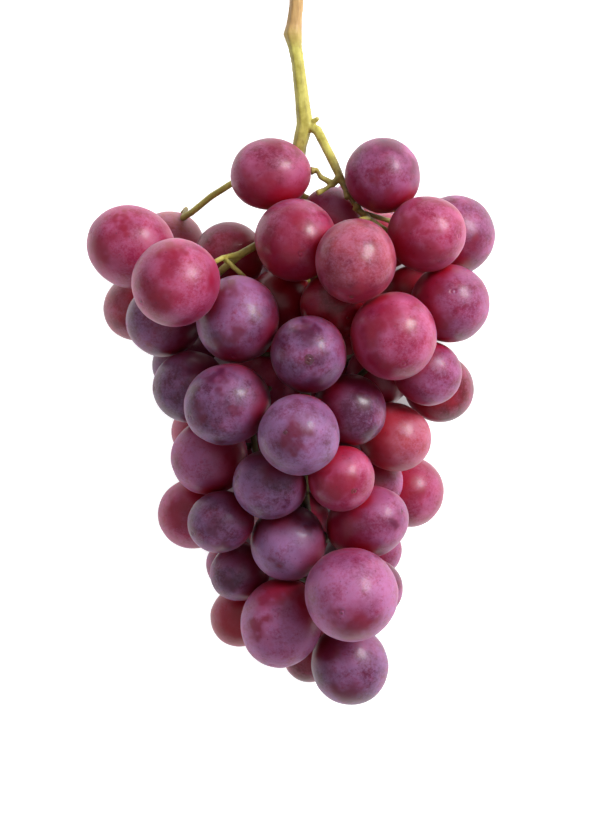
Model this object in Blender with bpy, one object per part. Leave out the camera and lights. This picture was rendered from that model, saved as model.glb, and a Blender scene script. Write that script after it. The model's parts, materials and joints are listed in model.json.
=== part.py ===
# A bunch of dark table grapes lying on its side, stalk pointing along +Y.
# Every grape is its own closed solid; the stalk with all its branches and pedicels grew as one piece.
# The grapes are listed where they hang, then settled until no two touch, and the branches are then
# grown through the gaps between them, from each grape back to the nearest branch.
import bpy
import bmesh
import heapq
import math
import numpy as np
from mathutils import Matrix, Vector

MM = 0.001

# driving dimensions, in mm
SKIN_GAP = 0.5            # air left between neighbouring skins
STALK_GAP = 0.5           # air left between the stalk and any skin
TABLE_PRESS = 0.4         # how far a resting grape is flattened by the table
PEDICEL_RADIUS = 0.75     # the thin stalk of one grape
RECEPTACLE_RADIUS = 1.3   # the swollen end of a pedicel, where the grape sits
BRANCH_POWER = 2.7        # how fast a branch thickens with the grapes it carries
THINNEST_TWIG = 0.45      # the least radius of any twig
CORNER_SLACK = 1.25       # a faceted tube reaches this much past its radius at a bend
NECK_LENGTH = 1.9         # from the swollen end of a pedicel back to its thin part
STRAIGHT_START = 2.2      # how far a pedicel runs straight out from its grape
DRAWN_STEP = 4.0          # longest length between two points of a drawn branch
SETTLE_ROUNDS = 2400      # small pushes until the grapes lie still
AIR_CELL = 1.75           # side of the cells of air that a pedicel looks for its way through
AIR_MARGIN = 16.0         # open air searched round the bunch
GRAPE_SIDES = 12
GRAPE_RINGS = 8

# skin, across, along, height, width, length
GRAPES = [
    ("red", -8, 70.5, 44, 21, 24),
    ("mauve", 23.5, 71.5, 46, 22, 22),
    ("red", -50.5, 50, 43, 24, 27),
    ("red", -35.5, 38.5, 67, 25, 26),
    ("amber", -42, 50.5, 15, 22, 23),
    ("wine", -22, 48.5, 27, 21, 21),
    ("amber", -48, 37, 16, 20, 21),
    ("purple", -41.5, 29, 36, 22, 23),
    ("purple", -19, 30, 54, 24, 26),
    ("red", -2, 54.5, 48, 24, 25),
    ("amber", 15.5, 45, 64, 23, 25),
    ("red", 37, 54, 54, 22, 23),
    ("mauve", 44, 55, 28, 24, 24),
    ("mauve", 44, 34, 46, 23, 24),
    ("red", 26.5, 24.5, 62, 25, 26),
    ("purple", 2, 18.5, 64, 22, 24),
    ("mauve", 37, 13.5, 45, 19, 20),
    ("wine", 41.5, 9, 26, 20, 21),
    ("purple", -22, 4, 60, 23, 26),
    ("purple", -0.5, -5, 69, 23, 26),
    ("purple", -33.5, 9.5, 41, 21, 22),
    ("purple", -36.5, 16.5, 14, 18, 19),
    ("mauve", -28, -11, 40, 22, 23),
    ("amber", -31, -4.5, 16, 16, 17),
    ("purple", -9.5, -20, 54, 20, 22),
    ("purple", -24, -31, 46, 18, 20),
    ("red", -32.5, -29, 27, 21, 22),
    ("purple", -2.5, -37, 43, 22, 23),
    ("red", 12, -15.5, 54, 19, 19),
    ("purple", 14.5, -1, 52, 21, 22),
    ("amber", 26, -6, 37, 20, 22),
    ("red", 33, -23, 10, 21, 22),
    ("mauve", 17.5, -32, 40, 21, 26),
    ("purple", -17.5, -48.5, 34, 17, 18),
    ("mauve", -20, -46, 9, 16, 17),
    ("mauve", 15, -50.5, 51, 27, 29),
    ("mauve", -7.5, -60, 34, 24, 27),
    ("wine", -18.5, -60, 13, 18, 20),
    ("purple", 14.5, -75, 30, 23, 24),
    ("wine", 4, -69, 12, 15, 16),
    ("mauve", 20.5, -52, 23, 17, 18),
    ("mauve", 22.5, -41, 10, 16, 17),
    ("wine", -2.5, 33.5, 35, 20, 21),
    ("wine", 7.5, 33.5, 42, 20, 20),
    ("mauve", 10, 61, 32, 18, 20),
    ("amber", 25, 55, 22, 17, 18),
    ("wine", 34, 37, 26, 20, 21),
    ("mauve", 24, 12, 35, 19, 19),
    ("mauve", 19, -17.5, 24, 18, 19),
    ("wine", -2, 52, 12, 20, 21),
    ("mauve", 16, 60, 12, 21, 22),
    ("purple", -11, 36, 12, 23, 25),
    ("wine", 14, 37, 12, 23, 24),
    ("red", -12, 13, 12, 23, 24),
    ("wine", 13, 13, 12, 24, 25),
    ("mauve", -12, -11, 12, 23, 24),
    ("purple", 12, -11, 12, 23, 24),
    ("red", -3, -37, 12, 25, 26),
    ("wine", 5, -56, 19, 23, 24),
]

# grapes whose stalk end points somewhere plainer to name than "back to the main stem"
TURNED = {
    1: (1.0, 0.1, -0.2),
    2: (-0.5, -0.6, -0.5),
    3: (0.8, -0.3, -0.4),
    4: (0.7, 0.4, -0.5),
    5: (0.4, 0.9, -0.1),
    9: (0.1, 0.8, -0.5),
    11: (0.1, 0.8, -0.5),
    14: (-0.3, -0.2, -0.9),
    15: (-0.2, 0.6, -0.7),
    19: (0.8, 0.3, -0.5),
    20: (0.45, 0.15, -0.85),
    25: (0.8, -0.2, -0.5),
    26: (0.9, 0.2, -0.4),
    33: (-1.0, -0.3, -0.3),
    36: (0.2, 0.3, -0.9),
    37: (0.2, 0.9, -0.4),
}

# across, along, height, radius: the stalk from its cut end down through the bunch
MAIN_STEM = [
    (-1.5, 137.0, 37.0, 2.05),
    (-1.7, 124.0, 36.5, 2.1),
    (-2.3, 118.5, 36.0, 2.3),
    (-2.8, 115.5, 36.0, 2.8),
    (-2.1, 112.0, 36.0, 2.1),
    (-1.2, 107.0, 36.0, 1.9),
    (0.2, 95.0, 35.0, 2.15),
    (0.9, 88.5, 34.0, 2.5),
    (-0.7, 82.0, 33.0, 2.15),
    (-1.4, 74.0, 31.0, 2.1),
    (-1.0, 60.0, 28.0, 1.9),
    (1.0, 48.0, 27.0, 1.7),
    (1.0, 36.0, 27.0, 1.6),
    (1.0, 24.0, 28.0, 1.6),
    (2.0, 12.0, 29.0, 1.5),
    (0.0, 0.0, 30.0, 1.5),
    (0.0, -12.0, 30.0, 1.4),
    (1.0, -24.0, 28.0, 1.3),
    (2.0, -36.0, 26.0, 1.2),
    (3.0, -47.0, 26.0, 1.1),
    (4.0, -58.0, 27.0, 1.0),
]

# the branches drawn by hand; each one starts on a point of an earlier one, and grapes may join it
# from the row named with it onward (None: no grape joins)
SIDE_BRANCHES = [
    # the shoulder branch that leaves the stalk at the fork
    (4, [(0.9, 88.5, 34.0, 2.5), (4.7, 86.5, 35.5, 1.5), (7.1, 81.5, 38.0, 1.4), (9.5, 76.5, 40.5, 1.4),
         (11.4, 72.0, 42.5, 1.35)]),
    # the short stub of a tendril beside it
    (None, [(0.9, 88.5, 34.0, 2.5), (4.0, 89.5, 35.5, 0.8), (5.0, 90.2, 36.2, 0.6)]),
    # the little knuckle under the shoulder branch, and the twig toward the first grape
    (1, [(11.4, 72.0, 42.5, 1.35), (9.3, 69.8, 43.4, 1.2), (5.5, 72.0, 43.6, 0.8)]),
    # three pedicels that have lost their grapes
    (None, [(9.3, 69.8, 43.4, 1.2), (6.5, 67.8, 45.0, 0.65), (4.6, 66.9, 46.6, 0.95)]),
    (None, [(11.4, 72.0, 42.5, 1.35), (13.0, 67.8, 44.5, 0.65), (13.6, 65.2, 46.4, 0.95)]),
    (1, [(11.4, 72.0, 42.5, 1.35), (14.5, 66.0, 42.0, 0.9), (17.5, 61.5, 43.8, 0.95)]),
    # the branch to the left shoulder of the bunch
    (2, [(-1.0, 60.0, 28.0, 1.7), (-6.0, 57.5, 35.0, 1.2), (-12.0, 52.5, 42.0, 1.15),
         (-18.5, 48.5, 45.5, 1.2), (-23.5, 47.5, 48.5, 1.1)]),
    # the long thin one that passes under the first grape to the far left
    (5, [(-1.4, 74.0, 31.0, 2.1), (-11.0, 74.0, 27.5, 1.05), (-21.3, 71.2, 26.5, 1.0),
         (-27.8, 67.3, 24.5, 1.0), (-33.5, 62.9, 21.0, 1.0), (-36.5, 61.2, 18.5, 1.0)]),
]

SKINS = {
    "purple": (0.150, 0.060, 0.120),
    "mauve": (0.260, 0.060, 0.120),
    "red": (0.330, 0.035, 0.070),
    "wine": (0.140, 0.015, 0.030),
    "amber": (0.330, 0.080, 0.060),
}


def clearObjects():
    for thing in list(bpy.data.objects):
        bpy.data.objects.remove(thing, do_unlink=True)


def makeMaterial(name, colour, roughness):
    material = bpy.data.materials.new(name)
    material.use_nodes = True
    surface = material.node_tree.nodes["Principled BSDF"]
    surface.inputs["Base Color"].default_value = (*colour, 1.0)
    surface.inputs["Roughness"].default_value = roughness
    surface.inputs["Metallic"].default_value = 0.0
    return material


def nearestOnPath(point, path):
    # how far the point is from a line through the path's points, and the nearest spot on it
    best = None
    for start, end in zip(path[:-1], path[1:]):
        along = end - start
        share = np.clip(np.dot(point - start, along) / np.dot(along, along), 0.0, 1.0)
        spot = start + share * along
        reach = np.linalg.norm(point - spot)
        if best is None or reach < best[0]:
            best = (reach, spot)
    return best


def stalkDirections(centres, stem):
    # a grape hangs away from the stem, its stalk end turned a little toward the top of the bunch
    axes = []
    for number, centre in enumerate(centres, start=1):
        if number in TURNED:
            axis = np.array(TURNED[number])
        else:
            reach, spot = nearestOnPath(centre, stem)
            axis = spot + np.array((0.0, 8.0, 0.0)) - centre
        axes.append(axis / np.linalg.norm(axis))
    return np.array(axes)


def skinReach(halfWidth, halfLength, alignment):
    # distance from a grape's centre to the plane that just touches its skin
    return np.sqrt(halfWidth ** 2 + (halfLength ** 2 - halfWidth ** 2) * alignment ** 2)


def drawnLengths():
    # every straight length of the hand-drawn stalk: start, end, radius
    lengths = []
    for rows in [MAIN_STEM] + [rows for joinFrom, rows in SIDE_BRANCHES]:
        for start, end in zip(rows[:-1], rows[1:]):
            lengths.append((np.array(start[:3]), np.array(end[:3]), min(start[3], end[3])))
    return lengths


def settle(centres, axes, halfWidth, halfLength, rounds):
    # push touching grapes apart, keep them off the stalk, and rest the lowest ones on the table
    wanted = centres.copy()
    settled = centres.copy()
    count = len(centres)
    resting = wanted[:, 2] < halfWidth + 4.0
    reachDown = skinReach(halfWidth, halfLength, axes[:, 2])
    wanted[resting, 2] = reachDown[resting] - TABLE_PRESS
    lengths = drawnLengths()
    for step in range(rounds):
        done = step / rounds
        pull = 0.02 if done < 0.5 else 0.008 * (1.0 - done)
        settled[:, :2] += (wanted - settled)[:, :2] * pull
        settled[:, 2] += (wanted - settled)[:, 2] * np.where(resting, pull, pull * 0.2)
        between = settled[None] - settled[:, None]
        distance = np.linalg.norm(between, axis=2) + np.eye(count)
        unit = between / distance[:, :, None]
        own = skinReach(halfWidth[:, None], halfLength[:, None], np.einsum("ijk,ik->ij", unit, axes))
        other = skinReach(halfWidth[None], halfLength[None], np.einsum("ijk,jk->ij", unit, axes))
        short = np.clip(own + other + SKIN_GAP - distance, 0.0, None)
        np.fill_diagonal(short, 0.0)
        settled -= (unit * short[:, :, None]).sum(axis=1) * 0.25
        for start, end, radius in lengths:
            along = end - start
            share = np.clip((settled - start) @ along / (along @ along), 0.0, 1.0)
            away = settled - start - share[:, None] * along
            gap = np.linalg.norm(away, axis=1)
            away = away / gap[:, None]
            reach = skinReach(halfWidth, halfLength, (away * axes).sum(axis=1))
            need = reach + radius * CORNER_SLACK + STALK_GAP
            settled += away * (np.clip(need - gap, 0.0, None) * 0.4)[:, None]
        settled[:, 2] = np.maximum(settled[:, 2], reachDown - TABLE_PRESS)
    return settled


def aimStalks(centres, axes, halfWidth, halfLength):
    # turn each grape a little, until there is open air where its pedicel has to leave
    golden = math.pi * (3.0 - math.sqrt(5.0))
    ways = []
    for index in range(400):
        height = 1.0 - 2.0 * (index + 0.5) / 400
        across = math.sqrt(1.0 - height * height)
        ways.append((across * math.cos(golden * index), across * math.sin(golden * index), height))
    ways = np.array(ways)
    turned = axes.copy()
    for grape in range(len(centres)):
        others = np.arange(len(centres)) != grape
        choices = np.vstack([axes[grape], ways[ways @ axes[grape] > 0.45]])
        score = 2.5 * (choices @ axes[grape])
        for reach in (0.8, 2.6):
            spots = centres[grape] + choices * (halfLength[grape] + reach)
            air = freeAir(spots, centres[others], axes[others], halfWidth[others], halfLength[others])[0]
            score += 2.0 * np.minimum(air, 2.2) - 40.0 * (spots[:, 2] < 2.5)
        turned[grape] = choices[score.argmax()]
    return turned


def freeAir(points, centres, axes, halfWidth, halfLength):
    # distance from each point to the nearest skin, and the direction straight away from it
    away = points[:, None] - centres[None]
    distance = np.linalg.norm(away, axis=2) + 1e-9
    unit = away / distance[:, :, None]
    alignment = np.einsum("ijk,jk->ij", unit, axes)
    air = distance - skinReach(halfWidth[None], halfLength[None], alignment)
    nearest = air.argmin(axis=1)
    rows = np.arange(len(points))
    return air[rows, nearest], unit[rows, nearest]


class Branches:
    # the whole stalk as points joined by short lengths, each point knowing the one it grew from
    def __init__(self):
        self.points = []
        self.parents = []
        self.radii = []
        self.fixed = []
        self.joinable = []
        self.grape = []

    def add(self, point, parent, radius, fixed, joinable, grape=-1):
        self.points.append(np.array(point, dtype=float))
        self.parents.append(parent)
        self.radii.append(radius)
        self.fixed.append(fixed)
        self.joinable.append(joinable)
        self.grape.append(grape)
        return len(self.points) - 1


def addDrawnBranch(branches, rows, parent, joinFrom):
    # a branch drawn by hand, filled in so that no length is much over DRAWN_STEP
    last = parent
    previous = rows[0]
    if last is None:
        last = branches.add(previous[:3], -1, previous[3], True, False)
    for index, row in enumerate(rows[1:], start=1):
        pieces = max(1, round(math.dist(previous[:3], row[:3]) / DRAWN_STEP))
        for piece in range(1, pieces + 1):
            share = piece / pieces
            spot = [a + (b - a) * share for a, b in zip(previous, row)]
            joinable = joinFrom is not None and index >= joinFrom
            last = branches.add(spot[:3], last, spot[3], True, joinable)
        previous = row


def nearestPoint(branches, spot):
    return min(range(len(branches.points)), key=lambda index: math.dist(branches.points[index], spot))


def growBranches(centres, axes, halfWidth, halfLength):
    branches = Branches()
    addDrawnBranch(branches, MAIN_STEM, None, 8)
    for joinFrom, rows in SIDE_BRANCHES:
        addDrawnBranch(branches, rows, nearestPoint(branches, rows[0][:3]), joinFrom)

    cell = AIR_CELL
    low = centres.min(axis=0) - AIR_MARGIN
    low[2] = PEDICEL_RADIUS * 2.0
    high = centres.max(axis=0) + AIR_MARGIN
    size = np.ceil((high - low) / cell).astype(int)
    spots = np.stack(np.meshgrid(*[np.arange(n) for n in size], indexing="ij"), axis=-1).reshape(-1, 3)
    air = np.empty(len(spots))
    for part in range(0, len(spots), 20000):
        air[part:part + 20000] = freeAir(spots[part:part + 20000] * cell + low,
                                         centres, axes, halfWidth, halfLength)[0]
    air = air.reshape(size)
    # a tight cell costs more, and so does one far out in the open; a closed one can't be passed
    roomy = PEDICEL_RADIUS + STALK_GAP + 0.4
    exposed = 4.0
    cost = 1.0 + 3.0 * np.clip(roomy - air, 0.0, None) ** 2 + 0.35 * np.clip(air - exposed, 0.0, None)
    cost[air < STALK_GAP] = np.inf
    moves = [(i, j, k, math.sqrt(i * i + j * j + k * k)) for i in (-1, 0, 1) for j in (-1, 0, 1)
             for k in (-1, 0, 1) if (i, j, k) != (0, 0, 0)]

    def cellOf(point):
        spot = np.clip(np.round((point - low) / cell).astype(int), 0, size - 1)
        return tuple(int(n) for n in spot)

    home = {}

    def offer(index):
        # a grape may join here; the open cells around the point all count as reaching it
        spot = cellOf(branches.points[index])
        for i in (-1, 0, 1):
            for j in (-1, 0, 1):
                for k in (-1, 0, 1):
                    near = (spot[0] + i, spot[1] + j, spot[2] + k)
                    home.setdefault(near, index)

    for index, joinable in enumerate(branches.joinable):
        if joinable:
            offer(index)

    stem = np.array([row[:3] for row in MAIN_STEM])
    order = sorted(range(len(centres)), key=lambda i: nearestOnPath(centres[i], stem)[0])
    for grape in order:
        pole = centres[grape] + axes[grape] * (halfLength[grape] + STALK_GAP)
        start = cellOf(pole + axes[grape] * STRAIGHT_START)
        if not np.isfinite(cost[start]):
            ring = [(start[0] + i, start[1] + j, start[2] + k) for i, j, k, length in moves]
            ring = [spot for spot in ring if np.isfinite(cost[spot])]
            start = max(ring, key=lambda spot: air[spot])
        best = {start: 0.0}
        cameFrom = {}
        queue = [(0.0, start)]
        end = None
        while queue:
            spent, spot = heapq.heappop(queue)
            if spent > best[spot]:
                continue
            if spot in home and spent > 0.0:
                end = spot
                break
            for i, j, k, length in moves:
                near = (spot[0] + i, spot[1] + j, spot[2] + k)
                if min(near) < 0 or near[0] >= size[0] or near[1] >= size[1] or near[2] >= size[2]:
                    continue
                total = spent + length * cost[near]
                if total < best.get(near, np.inf):
                    best[near] = total
                    cameFrom[near] = spot
                    heapq.heappush(queue, (total, near))
        if end is None:
            print("no way through for grape", grape + 1)
            continue
        route = []
        spot = end
        while spot != start:
            route.append(np.array(spot) * cell + low)
            spot = cameFrom[spot]
        parent = home[end]
        route = route[1::2]
        for place, point in enumerate(route):
            joinable = len(route) - place > 1
            parent = branches.add(point, parent, PEDICEL_RADIUS, False, joinable)
            if joinable:
                offer(parent)
        neck = branches.add(pole + axes[grape] * NECK_LENGTH, parent, PEDICEL_RADIUS, True, False, grape)
        branches.add(pole, neck, RECEPTACLE_RADIUS, True, False, grape)
    return branches


def relaxBranches(branches, centres, axes, halfWidth, halfLength):
    # straighten every grown length like a stretched thread, while the skins push it back
    points = np.array(branches.points)
    parents = np.array(branches.parents)
    fixed = np.array(branches.fixed)
    links = [(i, p) for i, p in enumerate(parents) if p >= 0]
    first = np.array([a for a, b in links])
    second = np.array([b for a, b in links])
    degree = np.zeros(len(points))
    np.add.at(degree, first, 1)
    np.add.at(degree, second, 1)
    need = np.array(branches.radii) * CORNER_SLACK + STALK_GAP
    for step in range(400):
        total = np.zeros_like(points)
        np.add.at(total, first, points[second])
        np.add.at(total, second, points[first])
        middle = total / degree[:, None]
        moved = points + (middle - points) * 0.3
        points = np.where(fixed[:, None], points, moved)
        for again in range(3):
            air, out = freeAir(points, centres, axes, halfWidth, halfLength)
            push = out * np.clip(need - air, 0.0, None)[:, None]
            points = np.where(fixed[:, None], points, points + push)
        points[:, 2] = np.maximum(points[:, 2], need)
    return points


def thickenBranches(branches, points, centres, axes, halfWidth, halfLength):
    # a branch is as thick as the grapes beyond it ask for, and never thicker than the gap it runs in
    carried = np.zeros(len(points))
    for index in range(len(points) - 1, 0, -1):
        if carried[index] == 0.0:
            carried[index] = 1.0
        carried[branches.parents[index]] += carried[index]
    grown = PEDICEL_RADIUS * carried ** (1.0 / BRANCH_POWER)
    radii = np.where(branches.fixed, branches.radii, grown)
    for index, grape in enumerate(branches.grape):
        others = np.arange(len(centres)) != grape
        air = freeAir(points[index:index + 1], centres[others], axes[others],
                      halfWidth[others], halfLength[others])[0][0]
        radii[index] = min(radii[index], max((air - STALK_GAP * 0.7) / CORNER_SLACK, THINNEST_TWIG))
    return radii


def splitIntoTwigs(branches, radii):
    # each twig runs on through its thickest child; every other child starts a twig of its own
    children = {}
    for index, parent in enumerate(branches.parents):
        children.setdefault(parent, []).append(index)
    twigs = []
    starts = [(-1, 0)]
    while starts:
        parent, index = starts.pop(0)
        twig = [index] if parent < 0 else [parent, index]
        while index in children:
            onward = max(children[index], key=lambda child: radii[child])
            starts.extend((index, child) for child in children[index] if child != onward)
            twig.append(onward)
            index = onward
        twigs.append(twig)
    return twigs


def buildTwig(points, radii, collection):
    curve = bpy.data.curves.new("twig", "CURVE")
    curve.dimensions = "3D"
    curve.bevel_depth = MM
    curve.bevel_resolution = 1
    curve.use_fill_caps = True
    line = curve.splines.new("POLY")
    line.points.add(len(points) - 1)
    for corner, point, radius in zip(line.points, points, radii):
        corner.co = (*(point * MM), 1.0)
        corner.radius = radius
    rod = bpy.data.objects.new("twig_line", curve)
    collection.objects.link(rod)
    mesh = bpy.data.meshes.new_from_object(rod.evaluated_get(bpy.context.evaluated_depsgraph_get()))
    bpy.data.objects.remove(rod, do_unlink=True)
    shape = bmesh.new()
    shape.from_mesh(mesh)
    bmesh.ops.remove_doubles(shape, verts=shape.verts, dist=0.00002)
    bmesh.ops.recalc_face_normals(shape, faces=shape.faces)
    shape.to_mesh(mesh)
    shape.free()
    twig = bpy.data.objects.new("twig", mesh)
    collection.objects.link(twig)
    return twig


def buildStem(branches, points, radii, material, collection):
    stem = None
    for twig in splitIntoTwigs(branches, radii):
        thickness = [radii[index] for index in twig]
        if stem is not None:
            # a twig leaves its branch at its own thickness
            thickness[0] = min(thickness[0], thickness[1])
        rod = buildTwig([points[index] for index in twig], thickness, collection)
        if stem is None:
            stem = rod
            stem.name = "stem"
            continue
        union = stem.modifiers.new("Union", "BOOLEAN")
        union.operation = "UNION"
        union.solver = "EXACT"
        union.object = rod
        bpy.context.view_layer.objects.active = stem
        bpy.ops.object.modifier_apply(modifier=union.name)
        bpy.data.objects.remove(rod, do_unlink=True)
    stem.data.name = "stem"
    stem.data.materials.clear()
    stem.data.materials.append(material)
    stem.data.polygons.foreach_set("use_smooth", [True] * len(stem.data.polygons))
    return stem


def buildGrape(number, centre, axis, width, length, material, collection):
    bpy.ops.mesh.primitive_uv_sphere_add(segments=GRAPE_SIDES, ring_count=GRAPE_RINGS, radius=1.0)
    grape = bpy.context.active_object
    grape.name = f"grape_{number:02d}"
    grape.data.name = grape.name
    grape.data.transform(Matrix.Diagonal((width / 2 * MM, width / 2 * MM, length / 2 * MM, 1.0)))
    grape.location = Vector(centre * MM)
    grape.rotation_mode = "QUATERNION"
    grape.rotation_quaternion = Vector(axis).to_track_quat("Z", "Y")
    bpy.context.view_layer.update()
    lowest = min((grape.matrix_world @ corner.co).z for corner in grape.data.vertices)
    if lowest < 0.0:
        # the table presses a small flat on the skin
        back = grape.matrix_world.inverted()
        shape = bmesh.new()
        shape.from_mesh(grape.data)
        everything = shape.verts[:] + shape.edges[:] + shape.faces[:]
        cut = bmesh.ops.bisect_plane(shape, geom=everything, dist=1e-7, plane_co=back @ Vector((0, 0, 0)),
                                     plane_no=back.to_3x3() @ Vector((0, 0, -1)), clear_outer=True)
        rim = [edge for edge in cut["geom_cut"] if isinstance(edge, bmesh.types.BMEdge)]
        bmesh.ops.contextual_create(shape, geom=rim)
        bmesh.ops.recalc_face_normals(shape, faces=shape.faces)
        shape.to_mesh(grape.data)
        shape.free()
    grape.data.materials.clear()
    grape.data.materials.append(material)
    grape.data.polygons.foreach_set("use_smooth", [True] * len(grape.data.polygons))
    for holder in list(grape.users_collection):
        holder.objects.unlink(grape)
    collection.objects.link(grape)
    return grape


def centreOnFootprint(collection):
    # the middle of the ground the bunch covers becomes the origin
    bpy.context.view_layer.update()
    corners = [thing.matrix_world @ corner.co
               for thing in collection.objects for corner in thing.data.vertices]
    for side in (0, 1):
        middle = (min(corner[side] for corner in corners) + max(corner[side] for corner in corners)) / 2
        for thing in collection.objects:
            thing.location[side] -= middle


def main():
    clearObjects()
    bunch = bpy.data.collections.new("grape_bunch")
    bpy.context.scene.collection.children.link(bunch)
    materials = {name: makeMaterial(f"skin_{name}", colour, 0.4) for name, colour in SKINS.items()}
    stemMaterial = makeMaterial("stem_green", (0.35, 0.30, 0.09), 0.6)

    stem = np.array([row[:3] for row in MAIN_STEM])
    centres = np.array([row[1:4] for row in GRAPES], dtype=float)
    halfWidth = np.array([row[4] / 2 for row in GRAPES])
    halfLength = np.array([row[5] / 2 for row in GRAPES])
    axes = stalkDirections(centres, stem)
    centres = settle(centres, axes, halfWidth, halfLength, SETTLE_ROUNDS)
    axes = aimStalks(centres, axes, halfWidth, halfLength)
    centres = settle(centres, axes, halfWidth, halfLength, SETTLE_ROUNDS // 3)
    print("settled")

    branches = growBranches(centres, axes, halfWidth, halfLength)
    points = relaxBranches(branches, centres, axes, halfWidth, halfLength)
    radii = thickenBranches(branches, points, centres, axes, halfWidth, halfLength)
    print("grown", len(points))

    for number, row in enumerate(GRAPES, start=1):
        buildGrape(number, centres[number - 1], axes[number - 1], row[4], row[5], materials[row[0]], bunch)
    buildStem(branches, points, radii, stemMaterial, bunch)
    centreOnFootprint(bunch)


main()
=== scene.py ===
# A bunch of dark red table grapes lying on a pale studio floor, seen from straight above.
import json
import math
import random

import bmesh
import bpy
import numpy as np
from mathutils import Matrix, Vector, noise


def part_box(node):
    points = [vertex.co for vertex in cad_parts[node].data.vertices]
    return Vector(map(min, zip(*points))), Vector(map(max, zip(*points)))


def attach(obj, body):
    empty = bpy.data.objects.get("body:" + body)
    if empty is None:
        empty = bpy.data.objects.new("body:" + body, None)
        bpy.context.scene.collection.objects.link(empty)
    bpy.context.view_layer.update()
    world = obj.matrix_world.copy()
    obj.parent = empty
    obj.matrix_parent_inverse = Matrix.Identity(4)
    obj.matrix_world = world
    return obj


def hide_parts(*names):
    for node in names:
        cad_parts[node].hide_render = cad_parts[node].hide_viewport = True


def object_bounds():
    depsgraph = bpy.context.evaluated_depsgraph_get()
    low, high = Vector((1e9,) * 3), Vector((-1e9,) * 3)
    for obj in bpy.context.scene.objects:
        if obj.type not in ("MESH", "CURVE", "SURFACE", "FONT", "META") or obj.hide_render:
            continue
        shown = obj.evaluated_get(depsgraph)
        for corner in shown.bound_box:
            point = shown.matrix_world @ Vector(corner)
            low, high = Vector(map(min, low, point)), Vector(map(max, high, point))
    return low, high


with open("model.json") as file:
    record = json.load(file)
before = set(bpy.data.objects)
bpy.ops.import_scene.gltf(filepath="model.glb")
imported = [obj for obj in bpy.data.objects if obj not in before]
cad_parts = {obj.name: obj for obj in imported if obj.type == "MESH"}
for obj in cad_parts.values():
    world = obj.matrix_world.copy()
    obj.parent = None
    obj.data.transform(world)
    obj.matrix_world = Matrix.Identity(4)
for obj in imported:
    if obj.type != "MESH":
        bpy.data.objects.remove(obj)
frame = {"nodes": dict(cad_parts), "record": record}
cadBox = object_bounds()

mm = 0.001


def linearColour(hexText):
    # sRGB hex to the linear colour that the shaders want
    parts = [int(hexText[i:i + 2], 16) / 255 for i in (0, 2, 4)]
    return tuple(c / 12.92 if c <= 0.04045 else ((c + 0.055) / 1.055) ** 2.4 for c in parts) + (1.0,)


def perMetre(sizeInMm):
    # a texture's scale for a pattern whose features are this many millimetres across
    return 1000.0 / sizeInMm


def addNode(tree, kind, settings=None, values=None, links=None):
    # one node: its own settings, the values of its sockets, and what is linked into them
    node = tree.nodes.new(kind)
    for name, value in (settings or {}).items():
        setattr(node, name, value)
    for socket, value in (values or {}).items():
        node.inputs[socket].default_value = value
    for socket, source in (links or {}).items():
        tree.links.new(source, node.inputs[socket])
    return node


def pickOnly(thing):
    bpy.ops.object.select_all(action="DESELECT")
    thing.select_set(True)
    bpy.context.view_layer.objects.active = thing


def applyModifier(thing, kind, **settings):
    pickOnly(thing)
    modifier = thing.modifiers.new(kind.title(), kind)
    for name, value in settings.items():
        setattr(modifier, name, value)
    bpy.ops.object.modifier_apply(modifier=modifier.name)


def newMaterial(name):
    material = bpy.data.materials.new(name)
    material.use_nodes = True
    tree = material.node_tree
    return material, tree, tree.nodes["Principled BSDF"]


grapeSettings = {
    "cuts": 31,              # a cube divided this finely and blown up to a ball
    "swell": 0.25 * mm,      # the skins fill most of the air that the frame leaves between them
    "lumps": 0.8 * mm,       # how far a grape strays from an even egg
    "lumpSize": 13 * mm,
    "press": 0.3 * mm,       # how softly a pressed flat runs out into the skin
    "touching": 1.2 * mm,    # neighbours nearer than this press on each other
    "pressReach": 36 * mm,   # neighbours with their centres further off than this are passed over
    "skinGap": 0.04 * mm,    # air that stays between a pressed skin and the middle of the gap
    "polished": 1.6 * mm,    # how far round a flat the bloom is worn
    "shelterReach": 55 * mm, # grapes further off than this give no shelter
    "scarFaces": 0.05,       # the flower scar, as a share of the grape's radius
    "scarRim": 0.008,        # its rim, how deep that is sunk, and how the dot in it stands up again
    "scarSunk": 0.010,
    "scarDot": 0.012,
    "luck": 0.05,            # how far a grape's bloom, blush and depth stray from its ripeness
}

# how each ripeness looks before the grape's own luck: bloom, blush, depth (mostly 0 to 1)
skinLooks = {
    "skin_purple": (0.6, 0.1, 0.7),
    "skin_mauve": (0.6, 0.1, 0.4),
    "skin_red": (0.5, 0.2, 0.2),
    "skin_wine": (0.3, 0.1, 0.7),
    "skin_amber": (0.5, 0.6, 0.2),
}

# grapes whose own look stands out from their ripeness
ownLooks = {
    "grape_01": (0.5, 0.0, 0.7),
    "grape_03": (0.65, 0.2, 0.1),
    "grape_05": (0.85, 0.8, 0.4),
    "grape_07": (0.3, 0.4, 0.6),
    "grape_08": (0.5, 0.2, 0.6),
    "grape_10": (0.35, 0.0, 0.6),
    "grape_11": (0.35, 0.3, 0.9),
    "grape_13": (0.4, 0.1, 0.8),
    "grape_20": (0.85, 0.0, 0.6),
    "grape_21": (0.5, 0.0, 0.9),
    "grape_23": (0.9, 0.3, 0.2),
    "grape_25": (0.7, 0.0, 0.9),
    "grape_28": (1.1, 0.1, 0.4),
    "grape_30": (0.2, 0.0, 0.9),
    "grape_31": (0.6, 0.6, 0.2),
    "grape_34": (0.6, 0.1, 0.6),
    "grape_36": (0.95, 0.3, 0.3),
    "grape_37": (0.95, 0.1, 0.4),
    "grape_38": (0.3, 0.6, 0.0),
    "grape_41": (0.35, 0.0, 0.85),
    "grape_43": (0.1, 0.2, 0.9),
    "grape_44": (0.1, 0.2, 0.9),
}

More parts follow.
